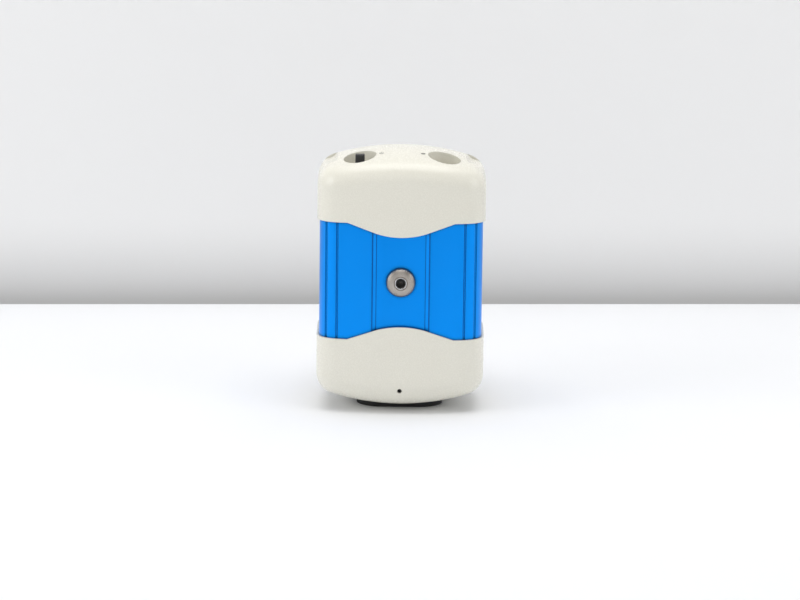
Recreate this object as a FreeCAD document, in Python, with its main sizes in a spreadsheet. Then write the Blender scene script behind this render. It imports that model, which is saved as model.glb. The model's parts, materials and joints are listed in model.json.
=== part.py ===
import FreeCAD, Part
import math
import os
import re

import Sketcher
from FreeCAD import Placement, Rotation, Vector

# Guide camera: two moulded end caps on an extruded middle, standing on its foot.
# +X is to the right of the front face, +Y runs out through the nose, +Z is up.
# The origin is the mouth of the tripod thread, on the plane the foot stands on.

doc = FreeCAD.newDocument("GuideCamera")
dims = doc.addObject("Spreadsheet::Sheet", "Dims")

DIMENSIONS = [
    # case outline
    ("caseWidth", 60.0), ("caseDepth", 44.0), ("bowRadius", 110.0), ("caseCorner", 9.0),
    ("bodyHeight", 93.0), ("midHeight", 47.3), ("endRadius", 84.0), ("endBow", 60.0), ("endFillet", 8.0),
    ("cavityFillet", 5.0),
    ("capWall", 2.0), ("lipInset", 0.85), ("sleeveInset", 0.9), ("boreInset", 3.5),
    # heights above and below the middle of the case
    ("bandHalf", 20.9), ("tongueTip", 16.0), ("tongueHalf", 19.0), ("tongueKnee", 8.8),
    ("kneeHeight", 17.3), ("ledge", 27.0), ("gasketHeight", 0.5),
    ("sideWave", 0.6), ("sideWaveRadius", 60.0), ("topLift", 1.1), ("bottomLift", -0.7),
    # sleeve
    ("channelHalf", 8.8), ("flank", 3.3), ("channelFloor", 20.0), ("screwLift", 0.7),
    ("portX", 23.0), ("portY", 12.0),
    ("portRadius", 3.8), ("portHole", 1.5), ("noseHole", 14.0),
    # foot and tripod bush
    ("footWidth", 31.0), ("footDepth", 18.0), ("footCorner", 8.9), ("footHeight", 8.0),
    ("bushRadius", 5.0), ("bushHeight", 10.0), ("threadRadius", 3.175), ("threadDepth", 8.5),
    # wells in the top
    ("wellX", 15.0), ("wellY", -10.0), ("wellRadius", 5.8), ("wellBoss", 7.3),
    ("switchFloor", 87.4), ("socketFloor", 85.6), ("wellSkin", 1.2),
    # dished grip in each shoulder
    ("dimpleX", 26.0), ("dimpleZ", 89.48), ("dimpleLean", 30.0), ("dimpleDepth", 1.5),
    ("dimpleRadius", 6.0), ("dimpleLength", 9.0),
    # nose
    ("noseRadius", 15.85), ("noseBore", 14.1), ("noseStart", 25.2), ("noseEnd", 47.2),
    ("flangeRadius", 20.4), ("flangeScrewCircle", 18.1), ("seatDepth", 21.7),
    # moving pieces
    ("knobSize", 3.3), ("knobTravel", 2.0), ("resetHeight", 8.8), ("pinholeRadius", 0.8),
    ("resetRadius", 1.4),
]
for row, (word, amount) in enumerate(DIMENSIONS, start=1):
    dims.set("A%d" % row, word)
    dims.set("B%d" % row, str(amount))
    dims.setAlias("B%d" % row, word)
doc.recompute()
SIZE = dict(DIMENSIONS)
MID = SIZE["midHeight"]
CENTRE = Vector(0, 0, MID)
FACING_BACK = Rotation(Vector(1, 0, 0), -90)
FACING_FRONT = Rotation(Vector(1, 0, 0), 90)
UPSIDE_DOWN = Rotation(Vector(0, 1, 0), 180)
subparts = []


def bound(expression):
    """Expression text, with each of the sheet's words pointing at its cell."""
    def cell(match):
        word = match.group()
        return "Dims." + word if word in SIZE else word
    return re.sub(r"[A-Za-z]+", cell, str(expression))


def number(expression):
    """What an expression comes to, for the geometry that a constraint then holds."""
    return float(dims.evalExpression(bound(expression)))


def keep(piece, label):
    """Name a finished piece as a sub-part of the camera."""
    piece.Label = label
    subparts.append(piece)
    return piece


# ---------------------------------------------------------------- sketches

def plane_of(body, role):
    return next(item for item in body.Origin.OriginFeatures if item.Role == role)


def new_sketch(body, role, offset="0"):
    sketch = body.newObject("Sketcher::SketchObject", body.Name + "Sketch")
    sketch.AttachmentSupport = [(plane_of(body, role), "")]
    sketch.MapMode = "FlatFace"
    sketch.setExpression("AttachmentOffset.Base.z", bound(offset))
    return sketch


def hold(sketch, kind, place, expression):
    """Add one dimension, or put the point on the axis where the dimension is nil."""
    amount = number(expression)
    if kind in ("DistanceX", "DistanceY") and abs(amount) < 1e-9:
        axis = -2 if kind == "DistanceX" else -1
        sketch.addConstraint(Sketcher.Constraint("PointOnObject", place[0], place[1], axis))
        return
    if kind == "Radius":
        index = sketch.addConstraint(Sketcher.Constraint(kind, place[0], amount))
    else:
        index = sketch.addConstraint(Sketcher.Constraint(kind, -1, 1, place[0], place[1], amount))
    sketch.setExpression("Constraints[%d]" % index, bound(expression))


def hold_point(sketch, place, point):
    hold(sketch, "DistanceX", place, point[0])
    hold(sketch, "DistanceY", place, point[1])


def vector_of(point):
    return Vector(number(point[0]), number(point[1]), 0)


def draw_polygon(sketch, points):
    corners = [vector_of(point) for point in points]
    lines = []
    for index, corner in enumerate(corners):
        after = corners[(index + 1) % len(corners)]
        lines.append(sketch.addGeometry(Part.LineSegment(corner, after), False))
    for index, line in enumerate(lines):
        after = lines[(index + 1) % len(lines)]
        sketch.addConstraint(Sketcher.Constraint("Coincident", line, 2, after, 1))
        hold_point(sketch, (line, 1), points[index])


def draw_rectangle(sketch, width, depth, centre=("0", "0")):
    left = "%s - (%s) / 2" % (centre[0], width)
    right = "%s + (%s) / 2" % (centre[0], width)
    low = "%s - (%s) / 2" % (centre[1], depth)
    high = "%s + (%s) / 2" % (centre[1], depth)
    draw_polygon(sketch, [(left, low), (right, low), (right, high), (left, high)])


def draw_circle(sketch, radius, centre=("0", "0")):
    circle = Part.Circle(vector_of(centre), Vector(0, 0, 1), number(radius))
    ring = sketch.addGeometry(circle, False)
    hold_point(sketch, (ring, 3), centre)
    hold(sketch, "Radius", (ring, 0), radius)


def draw_arc(sketch, centre, radius, start, end):
    """Arc about a held centre, turning left from start to end."""
    middle = vector_of(centre)
    angles = []
    for point in (start, end):
        away = vector_of(point) - middle
        angles.append(math.atan2(away.y, away.x))
    circle = Part.Circle(middle, Vector(0, 0, 1), number(radius))
    arc = sketch.addGeometry(Part.ArcOfCircle(circle, angles[0], angles[1]), False)
    hold_point(sketch, (arc, 3), centre)
    hold(sketch, "Radius", (arc, 0), radius)
    return arc


def draw_bowed_outline(sketch, inset):
    """Plan of the case: straight sides and gently bowed front and back."""
    half = "caseWidth / 2 - (%s)" % inset
    radius = "bowRadius - (%s)" % inset
    shift = "bowRadius - caseDepth / 2"
    edge = "sqrt((%s)^2 - (%s)^2) - (%s)" % (radius, half, shift)
    right, left = half, "-(%s)" % half
    back, front = edge, "-(%s)" % edge
    back_arc = draw_arc(sketch, ("0", "-(%s)" % shift), radius, (right, back), (left, back))
    front_arc = draw_arc(sketch, ("0", shift), radius, (left, front), (right, front))
    corners = [vector_of((x, y)) for x, y in ((left, back), (left, front), (right, front), (right, back))]
    left_line = sketch.addGeometry(Part.LineSegment(corners[0], corners[1]), False)
    right_line = sketch.addGeometry(Part.LineSegment(corners[2], corners[3]), False)
    for first, second in (((back_arc, 2), (left_line, 1)), ((left_line, 2), (front_arc, 1)),
                          ((front_arc, 2), (right_line, 1)), ((right_line, 2), (back_arc, 1))):
        sketch.addConstraint(Sketcher.Constraint("Coincident", *first, *second))
    for line, side in ((left_line, left), (right_line, right)):
        sketch.addConstraint(Sketcher.Constraint("Vertical", line))
        hold(sketch, "DistanceX", (line, 1), side)


# ---------------------------------------------------------------- features

def new_body(name):
    return doc.addObject("PartDesign::Body", name)


def pad(body, sketch, length, midplane=False):
    feature = body.newObject("PartDesign::Pad", body.Name + "Pad")
    feature.Profile = sketch
    feature.Midplane = midplane
    feature.setExpression("Length", bound(length))
    doc.recompute()
    return feature


def cut_through(body, sketch):
    """Pocket both ways through the whole solid."""
    before = body.Shape.Volume
    feature = body.newObject("PartDesign::Pocket", body.Name + "Pocket")
    feature.Profile = sketch
    feature.Midplane = True
    feature.Type = 1
    doc.recompute()
    if body.Shape.Volume >= before:
        raise RuntimeError("nothing was cut from " + body.Name)
    return feature


def cut_depth(body, sketch, depth, reverse=False):
    before = body.Shape.Volume
    feature = body.newObject("PartDesign::Pocket", body.Name + "Pocket")
    feature.Profile = sketch
    feature.Reversed = reverse
    feature.setExpression("Length", bound(depth))
    doc.recompute()
    if body.Shape.Volume >= before:
        raise RuntimeError("nothing was cut from " + body.Name)
    return feature


def turn(body, sketch, kind="PartDesign::Revolution", axis="V_Axis"):
    before = 0.0 if kind == "PartDesign::Revolution" else body.Shape.Volume
    feature = body.newObject(kind, body.Name + "Turn")
    feature.Profile = sketch
    feature.ReferenceAxis = (sketch, [axis])
    feature.Angle = 360
    doc.recompute()
    if kind == "PartDesign::Groove" and body.Shape.Volume >= before:
        raise RuntimeError("nothing was turned away from " + body.Name)
    return feature


def round_edges(body, radius, wanted, kind="PartDesign::Fillet"):
    base = body.Tip
    names = ["Edge%d" % (index + 1) for index, edge in enumerate(base.Shape.Edges) if wanted(edge)]
    feature = body.newObject(kind, body.Name + "Round")
    feature.Base = (base, names)
    word = "Radius" if kind == "PartDesign::Fillet" else "Size"
    feature.setExpression(word, bound(radius))
    doc.recompute()
    return feature


def is_upright(edge):
    if not isinstance(edge.Curve, Part.Line):
        return False
    return abs(edge.tangentAt(edge.FirstParameter).z) > 0.99


def turned(name, profile, centre, facing=None):
    """Turned piece: profile of (radius, height) points, turned about its own Z axis."""
    body = new_body(name)
    sketch = new_sketch(body, "XZ_Plane")
    draw_polygon(sketch, profile)
    turn(body, sketch)
    body.Placement = Placement(Vector(*centre), facing or Rotation())
    return body


def block(name, width, depth, height, centre, corner=None):
    """Rectangular piece centred on a point, with its upright corners rounded."""
    body = new_body(name)
    sketch = new_sketch(body, "XY_Plane")
    draw_rectangle(sketch, width, depth)
    pad(body, sketch, height, midplane=True)
    if corner:
        round_edges(body, corner, is_upright)
    body.Placement = Placement(Vector(*centre), Rotation())
    return body


def cylinder(name, radius, height, base, facing=None):
    tool = doc.addObject("Part::Cylinder", name)
    tool.setExpression("Radius", bound(radius))
    tool.setExpression("Height", bound(height))
    tool.Placement = Placement(Vector(*base), facing or Rotation())
    return tool


def box(name, width, depth, height, corner):
    tool = doc.addObject("Part::Box", name)
    tool.setExpression("Length", bound(width))
    tool.setExpression("Width", bound(depth))
    tool.setExpression("Height", bound(height))
    tool.Placement = Placement(Vector(*corner), Rotation())
    return tool


def fused(name, pieces):
    joined = doc.addObject("Part::MultiFuse", name)
    joined.Shapes = pieces
    doc.recompute()
    return joined


def cut(name, base, tools):
    """Base with the tools taken away, which have to reach it."""
    result = doc.addObject("Part::Cut", name)
    result.Base = base
    result.Tool = tools[0] if len(tools) == 1 else fused(name + "Tools", tools)
    doc.recompute()
    if result.Shape.Volume >= base.Shape.Volume:
        raise RuntimeError("nothing was cut from " + name)
    return result


def common(name, base, tool):
    result = doc.addObject("Part::Common", name)
    result.Base = base
    result.Tool = tool
    doc.recompute()
    return result


def grouped(name, pieces):
    group = doc.addObject("Part::Compound", name)
    group.Links = pieces
    doc.recompute()
    return group


def mirrored(name, source, normal, base=(0, 0, 0)):
    twin = doc.addObject("Part::Mirroring", name)
    twin.Source = source
    twin.Normal = Vector(*normal)
    twin.Base = Vector(*base)
    doc.recompute()
    return twin


def four_of(name, piece, second_normal):
    """A piece and its three mirror images about the middle of the case."""
    pair = grouped(name + "Pair", [piece, mirrored(name + "Twin", piece, (1, 0, 0))])
    other = mirrored(name + "Others", pair, second_normal, CENTRE)
    return grouped(name, [pair, other])


# ---------------------------------------------------------------- case

def case_prism(name, inset, low, high):
    """Upright slice of the case, with rounded corners, from low to high."""
    body = new_body(name)
    sketch = new_sketch(body, "XY_Plane", low)
    draw_bowed_outline(sketch, inset)
    pad(body, sketch, "(%s) - (%s)" % (high, low))
    round_edges(body, "caseCorner - (%s)" % inset, is_upright)
    return body


def case_end(name, inset, low, rim="endFillet"):
    """Upper end of the case about its middle: a prism under a dome, with a soft rim."""
    body = case_prism(name, inset, low, "bodyHeight / 2")
    sketch = new_sketch(body, "XZ_Plane")
    reach = "caseWidth * 0.7"
    radius = "endRadius - (%s)" % inset
    centre = "bodyHeight / 2 - endRadius"
    rim_height = "%s + sqrt((%s)^2 - (%s)^2)" % (centre, radius, reach)
    over = "bodyHeight"
    axle_height = "bodyHeight / 2 - endBow"
    axle = sketch.addGeometry(Part.LineSegment(vector_of(("-(%s)" % reach, axle_height)),
                                               vector_of((reach, axle_height))), True)
    hold_point(sketch, (axle, 1), ("-(%s)" % reach, axle_height))
    hold_point(sketch, (axle, 2), (reach, axle_height))
    points = [("-(%s)" % reach, rim_height), ("-(%s)" % reach, over), (reach, over), (reach, rim_height)]
    dome = draw_arc(sketch, ("0", centre), radius, points[3], points[0])
    corners = [vector_of(point) for point in points]
    lines = [sketch.addGeometry(Part.LineSegment(corners[i], corners[i + 1]), False) for i in range(3)]
    joins = [(dome, lines[0]), (lines[0], lines[1]), (lines[1], lines[2]), (lines[2], dome)]
    for first, second in joins:
        sketch.addConstraint(Sketcher.Constraint("Coincident", first, 2, second, 1))
    hold(sketch, "DistanceX", (lines[0], 1), points[0][0])
    hold_point(sketch, (lines[1], 1), points[1])
    hold_point(sketch, (lines[2], 1), points[2])
    hold(sketch, "DistanceX", (lines[2], 2), reach)
    groove = turn(body, sketch, "PartDesign::Groove", "Axis0")
    groove.Angle = 180
    groove.Midplane = True
    doc.recompute()
    middle = number("bodyHeight / 2 - endFillet")
    top = max(body.Tip.Shape.Faces, key=lambda face: face.Area if face.CenterOfMass.z > middle else 0)
    rim_edges = [edge.hashCode() for edge in top.Edges]
    round_edges(body, rim, lambda edge: edge.hashCode() in rim_edges)
    return body


def tongue_prism(name, lift):
    """Wave of the cap's edge on the front face: flat, sloping flank, rounded tip."""
    body = new_body(name)
    sketch = new_sketch(body, "XZ_Plane", "caseDepth / 4")
    knee, band = "kneeHeight + %s" % lift, "bandHalf + %s" % lift
    rise = "kneeHeight - tongueTip"
    radius = "(tongueKnee^2 + (%s)^2) / (2 * (%s))" % (rise, rise)
    left, right = ("-tongueKnee", knee), ("tongueKnee", knee)
    tip = draw_arc(sketch, ("0", "tongueTip + %s + %s" % (lift, radius)), radius, left, right)
    points = [right, ("tongueHalf", band), ("tongueHalf", "ledge"),
              ("-tongueHalf", "ledge"), ("-tongueHalf", band), left]
    corners = [vector_of(point) for point in points]
    lines = [sketch.addGeometry(Part.LineSegment(corners[i], corners[i + 1]), False) for i in range(5)]
    sketch.addConstraint(Sketcher.Constraint("Coincident", tip, 2, lines[0], 1))
    sketch.addConstraint(Sketcher.Constraint("Coincident", lines[4], 2, tip, 1))
    for index in range(4):
        sketch.addConstraint(Sketcher.Constraint("Coincident", lines[index], 2, lines[index + 1], 1))
        hold_point(sketch, (lines[index + 1], 1), points[index + 1])
    hold(sketch, "DistanceX", (lines[0], 1), "tongueKnee")
    hold(sketch, "DistanceX", (lines[4], 2), "-tongueKnee")
    pad(body, sketch, "caseDepth / 2")
    return body


def cap_blank(name, lift):
    """Outside of a cap: the end of the case down to its waved edge."""
    outer = case_end(name + "Outer", "0", "tongueTip - 2")
    above = box(name + "Above", "caseWidth * 2", "caseDepth * 2", "bodyHeight",
                (-SIZE["caseWidth"], -SIZE["caseDepth"], SIZE["bandHalf"] + SIZE[lift]))
    wave_centre = SIZE["bandHalf"] + SIZE[lift] - SIZE["sideWave"] + SIZE["sideWaveRadius"]
    wave = cylinder(name + "SideWave", "sideWaveRadius", "caseWidth * 2",
                    (-SIZE["caseWidth"], 0, wave_centre), Rotation(Vector(0, 1, 0), 90))
    region = fused(name + "Region", [above, tongue_prism(name + "Tongue", lift), wave])
    return common(name + "Blank", outer, region)


def cap_cavity(name, bosses):
    """Inside of a cap, leaving its screw posts and its own bosses standing."""
    cavity = case_end(name + "Cavity", "capWall", "ledge", "cavityFillet")
    sketch = new_sketch(cavity, "XY_Plane")
    for x_side in ("", "-"):
        for y_side in ("", "-"):
            draw_circle(sketch, "portRadius", (x_side + "portX", y_side + "portY"))
    cut_through(cavity, sketch)
    for radius, x, y, floor in bosses:
        sketch = new_sketch(cavity, "XY_Plane", floor)
        draw_circle(sketch, radius, (x, y))
        cut_depth(cavity, sketch, "bodyHeight", reverse=True)
    return cavity


def port_holes(name, radius, low, high):
    """Four upright holes on the lines of the case screws."""
    holes = []
    for x_side in (-1, 1):
        for y_side in (-1, 1):
            base = (x_side * SIZE["portX"], y_side * SIZE["portY"], low)
            holes.append(cylinder(name, radius, str(high - low), base))
    return holes


def shoulder_dimple(side):
    """Round-bottomed trough along a shoulder, cut by a cylinder that stands off it."""
    lean = math.radians(SIZE["dimpleLean"])
    stand_off = SIZE["dimpleRadius"] - SIZE["dimpleDepth"]
    base = (side * (SIZE["dimpleX"] + stand_off * math.sin(lean)), -SIZE["dimpleLength"],
            SIZE["dimpleZ"] - MID + stand_off * math.cos(lean))
    return cylinder("ShoulderTrough", "dimpleRadius", "dimpleLength * 2", base, FACING_BACK)


def make_top_cap():
    well_x, well_y = SIZE["wellX"], SIZE["wellY"]
    blank = cap_blank("TopCap", "topLift")
    bosses = [("wellBoss", "-wellX", "wellY", "switchFloor - midHeight - wellSkin"),
              ("wellBoss", "wellX", "wellY", "socketFloor - midHeight - wellSkin")]
    cavity = cap_cavity("TopCap", bosses)
    lip = case_prism("TopCapLip", "lipInset", "tongueTip - 3", "ledge")
    tools = [cavity, lip]
    for side, floor in ((-1, "switchFloor"), (1, "socketFloor")):
        base = (side * well_x, well_y, SIZE[floor] - MID)
        tools.append(cylinder("TopCapWell", "wellRadius", "bodyHeight", base))
    tools.append(box("KnobSlot", "knobSize + knobTravel + 0.6", "knobSize + 0.4", "6",
                     (-well_x - SIZE["knobSize"] / 2 - 0.3, well_y - SIZE["knobSize"] / 2 - 0.2, 36)))
    tools.append(box("SocketSlot", "9.3", "3.6", "6", (well_x - 4.65, well_y - 1.8, 33)))
    tools += port_holes("TopCapPortHole", "1.25", SIZE["ledge"] - 1, SIZE["ledge"] + 8)
    for side in (-1, 1):
        tools.append(shoulder_dimple(side))
    cap = cut("TopCap", blank, tools)
    cap.Placement = Placement(CENTRE, Rotation())
    return keep(cap, "top_cap")


def make_bottom_cap():
    blank = cap_blank("BottomCap", "bottomLift")
    cavity = cap_cavity("BottomCap", [("bushRadius + 2", "0", "0", "midHeight - 12")])
    lip = case_prism("BottomCapLip", "lipInset", "tongueTip - 3", "ledge")
    reset_z = MID - SIZE["resetHeight"]
    guide = cylinder("ResetGuide", "resetRadius + 1.6", "6.7", (0, -20.3, reset_z), FACING_BACK)
    shell = fused("BottomCapShell", [cut("BottomCapHollow", blank, [cavity, lip]), guide])
    tools = [cylinder("BushHole", "bushRadius", "bushHeight + 4", (0, 0, MID - SIZE["bushHeight"])),
             cylinder("Pinhole", "pinholeRadius", "6", (0, -24, reset_z), FACING_BACK),
             cylinder("ResetBore", "resetRadius + 0.1", "8", (0, -19.9, reset_z), FACING_BACK),
             cylinder("JackHole", "3.1", "8", (0, 17, MID - 16), FACING_BACK)]
    tools += port_holes("BottomCapPortHole", "portHole", SIZE["ledge"] - 1, SIZE["ledge"] + 20)
    tools += port_holes("ScrewHeadHole", "2.6", SIZE["ledge"] + 11, SIZE["ledge"] + 22)
    cap = cut("BottomCap", shell, tools)
    cap.Placement = Placement(CENTRE, UPSIDE_DOWN)
    return keep(cap, "bottom_cap")


def make_sleeve():
    """Extruded middle: front channel, corner grooves and screw ports run its full length."""
    end = "ledge - gasketHeight"
    outer = case_prism("SleeveOuter", "sleeveInset", "-(%s)" % end, end)
    sketch = new_sketch(outer, "XY_Plane")
    draw_polygon(sketch, [("channelHalf + flank", "-channelFloor - 1.6"), ("channelHalf", "-channelFloor"),
                          ("-channelHalf", "-channelFloor"), ("-channelHalf - flank", "-channelFloor - 1.6")])
    cut_through(outer, sketch)
    radius = SIZE["caseCorner"] - SIZE["sleeveInset"]
    reach = SIZE["bowRadius"] - SIZE["caseCorner"]
    corner_x = SIZE["caseWidth"] / 2 - SIZE["caseCorner"]
    corner_y = math.sqrt(reach ** 2 - corner_x ** 2) - SIZE["bowRadius"] + SIZE["caseDepth"] / 2
    sketch = new_sketch(outer, "XY_Plane")
    for turn_degrees, groove in ((47, 0.6), (78, 0.42)):
        x = corner_x + radius * math.cos(math.radians(turn_degrees))
        y = corner_y + radius * math.sin(math.radians(turn_degrees))
        for x_side in (-1, 1):
            for y_side in (-1, 1):
                draw_circle(sketch, str(groove), (str(x_side * x), str(y_side * y)))
    cut_through(outer, sketch)
    bore = case_prism("SleeveBore", "boreInset", "-(%s)" % end, end)
    sketch = new_sketch(bore, "XY_Plane")
    for x_side in ("", "-"):
        for y_side in ("", "-"):
            draw_circle(sketch, "portRadius", (x_side + "portX", y_side + "portY"))
    cut_through(bore, sketch)
    tools = [bore, cylinder("NoseHole", "noseHole", "8", (0, 15, 0), FACING_BACK),
             cylinder("FrontScrewHole", "3.1", "8", (0, -23, SIZE["screwLift"]), FACING_BACK)]
    tools += port_holes("SleevePortHole", "portHole", -SIZE["ledge"], SIZE["ledge"])
    for x_side in (-1, 1):
        for z_side in (-1, 1):
            offset = SIZE["flangeScrewCircle"] / math.sqrt(2)
            tools.append(cylinder("FlangeScrewHole", "1", "8",
                                  (x_side * offset, 14, z_side * offset), FACING_BACK))
    sleeve = cut("Sleeve", outer, tools)
    sleeve.Placement = Placement(CENTRE, Rotation())
    return keep(sleeve, "body_sleeve")


def make_gaskets():
    """Flat rubber rings between the sleeve's ends and the caps' ledges."""
    for label, name, low in (("top_gasket", "TopGasket", "ledge - gasketHeight"),
                             ("bottom_gasket", "BottomGasket", "-ledge")):
        high = "(%s) + gasketHeight" % low
        outer = case_prism(name + "Outer", "sleeveInset + 0.1", low, high)
        inner = case_prism(name + "Inner", "boreInset - 0.4", low, high)
        ring = cut(name, outer, [inner])
        ring.Placement = Placement(CENTRE, Rotation())
        keep(ring, label)


def make_case_screws():
    """Long screws from under the bottom cap, up the sleeve's ports, into the top cap."""
    head, shank, length = "2.4", "1.23", "72.5"
    profile = [("0", "-2"), (head, "-2"), (head, "0"), (shank, "0"), (shank, length), ("0", length)]
    screw = turned("CaseScrew", profile, (SIZE["portX"], SIZE["portY"], MID - SIZE["ledge"] - 11))
    hexagon = new_sketch(screw, "XY_Plane", "-2")
    draw_hexagon(hexagon, "1.1")
    cut_depth(screw, hexagon, "1.2", reverse=True)
    keep(four_of("CaseScrews", screw, (0, 1, 0)), "case_screws")


def draw_hexagon(sketch, reach):
    points = []
    for corner in range(6):
        angle = 60 * corner
        points.append(("(%s) * cos(%d deg)" % (reach, angle), "(%s) * sin(%d deg)" % (reach, angle)))
    draw_polygon(sketch, points)


# ---------------------------------------------------------------- front, foot and tripod bush

def make_front_screw():
    """Button-head socket screw in the channel, threaded into the mounting block."""
    shank, length, crown, height = "2.98", "9.2", "2.4", "2.6"
    body = new_body("FrontScrew")
    sketch = new_sketch(body, "XZ_Plane")
    draw_polygon(sketch, [("0", "-(%s)" % length), (shank, "-(%s)" % length), (shank, "0"),
                          ("5.2", "0"), ("5.2", "0.5"), ("4.4", "1.6"), (crown, height), ("0", height)])
    turn(body, sketch)
    hexagon = new_sketch(body, "XY_Plane", height)
    draw_hexagon(hexagon, "2")
    cut_depth(body, hexagon, "2")
    body.Placement = Placement(Vector(0, -SIZE["channelFloor"], MID + SIZE["screwLift"]), FACING_FRONT)
    return keep(body, "front_screw")


def make_mounting_block():
    """Aluminium block behind the channel that takes the front screw."""
    inside = case_prism("BlockLimit", "boreInset + 0.03", "-14", "14")
    inside.Placement = Placement(CENTRE, Rotation())
    blank = common("MountingFitted", block("MountingBlank", "26", "8", "26", (0, -14.4, MID), "1.5"), inside)
    hole = cylinder("MountingThread", "3", "20", (0, -20, MID + SIZE["screwLift"]), FACING_BACK)
    tools = [hole]
    for x_side in (-1, 1):
        for z_side in (-1, 1):
            tools.append(cylinder("BlockHole", "1.25", "6",
                                  (x_side * 9.5, -15.0, MID + z_side * 9.5), FACING_BACK))
    return keep(cut("MountingBlock", blank, tools), "mounting_block")


def make_foot():
    """Rubber foot whose top follows the domed end, with the bush through it."""
    blank = block("FootBlank", "footWidth", "footDepth", "footHeight",
                  (0, 0, SIZE["footHeight"] / 2), "footCorner")
    dome = case_end("FootDome", "-0.02", "0")
    dome.Placement = Placement(CENTRE, UPSIDE_DOWN)
    hole = cylinder("FootHole", "bushRadius + 0.05", "footHeight * 2", (0, 0, -1))
    return keep(cut("Foot", blank, [dome, hole]), "foot_pad")


def make_tripod_bush():
    profile = [("threadRadius", "0"), ("bushRadius", "0"), ("bushRadius", "bushHeight"),
               ("0", "bushHeight"), ("0", "threadDepth"), ("threadRadius", "threadDepth")]
    return keep(turned("TripodBush", profile, (0, 0, 0)), "tripod_bush")


# ---------------------------------------------------------------- nose and window

def make_nose():
    """Flange saddled on the sleeve, eyepiece-size tube, sealed window and pull-off plug."""
    lip, seat, spigot = "9", "10.8", "15.05"
    flange_profile = [("noseHole - 0.05", "17.4"), ("noseHole - 0.05", "19"), ("flangeRadius", "19"),
                      ("flangeRadius", "noseStart - 0.5"), ("flangeRadius - 0.5", "noseStart"),
                      (spigot, "noseStart"), (spigot, "seatDepth"), (seat, "seatDepth"),
                      (seat, "19.4"), (lip, "19.4"), (lip, "17.4")]
    blank = turned("FlangeBlank", flange_profile, CENTRE, FACING_BACK)
    saddle = case_prism("FlangeSaddle", "sleeveInset - 0.06", "-ledge", "ledge")
    hole = cylinder("SaddleHole", "noseHole", "caseDepth", (0, 0, 0), FACING_BACK)
    saddle_cut = cut("SaddleCut", saddle, [hole])
    saddle_cut.Placement = Placement(CENTRE, Rotation())
    tools = [saddle_cut]
    offset = SIZE["flangeScrewCircle"] / math.sqrt(2)
    for x_side in (-1, 1):
        for z_side in (-1, 1):
            place = (x_side * offset, 15, MID + z_side * offset)
            tools.append(cylinder("FlangeHole", "1.1", "12", place, FACING_BACK))
            seat_place = (place[0], SIZE["noseStart"] - 1.9, place[2])
            tools.append(cylinder("FlangeHead", "2.05", "3", seat_place, FACING_BACK))
    keep(cut("NoseFlange", blank, tools), "nose_flange")

    screw_profile = [("0", "-6"), ("0.98", "-6"), ("0.98", "0"), ("1.95", "0"), ("1.95", "1.6"), ("0", "1.6")]
    screw = turned("FlangeScrew", screw_profile, (offset, SIZE["noseStart"] - 1.9, MID + offset), FACING_BACK)
    socket = new_sketch(screw, "XY_Plane", "1.6")
    draw_hexagon(socket, "0.9")
    cut_depth(screw, socket, "0.9")
    keep(four_of("FlangeScrews", screw, (0, 0, 1)), "flange_screws")

    tube_profile = [("noseBore - 1.1", "seatDepth + 0.05"), ("15", "seatDepth + 0.05"), ("15", "noseStart"),
                    ("noseRadius", "noseStart"), ("noseRadius", "noseEnd - 0.5"),
                    ("noseRadius - 0.5", "noseEnd"), ("noseBore + 0.3", "noseEnd"),
                    ("noseBore", "noseEnd - 0.3"),
                    ("noseBore", "noseStart + 1"), ("noseBore - 1.1", "noseStart + 1")]
    keep(turned("NoseTube", tube_profile, CENTRE, FACING_BACK), "nose_tube")

    seal = [("9.3", "19.4"), ("10.7", "19.4"), ("10.7", "19.9"), ("9.3", "19.9")]
    keep(turned("WindowSeal", seal, CENTRE, FACING_BACK), "window_seal")
    glass = [("0", "19.9"), ("10.6", "19.9"), ("10.6", "21"), ("0", "21")]
    keep(turned("Window", glass, CENTRE, FACING_BACK), "sensor_window")
    ring = [("9", "21"), ("10.75", "21"), ("10.75", "seatDepth"), ("9", "seatDepth")]
    keep(turned("WindowRing", ring, CENTRE, FACING_BACK), "window_ring")

    plug = [("0", "noseEnd"), ("12.4", "noseEnd"), ("12.4", "noseEnd - 8"), ("noseBore - 0.1", "noseEnd - 8"),
            ("noseBore - 0.1", "noseEnd - 0.3"), ("noseBore + 0.25", "noseEnd + 0.05"),
            ("noseRadius - 0.3", "noseEnd + 0.05"), ("noseRadius - 0.3", "noseEnd + 2.2"),
            ("noseRadius - 0.9", "noseEnd + 2.8"), ("0", "noseEnd + 2.8")]
    keep(turned("DustPlug", plug, CENTRE, FACING_BACK), "dust_plug")


# ---------------------------------------------------------------- sensor and boards

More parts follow.
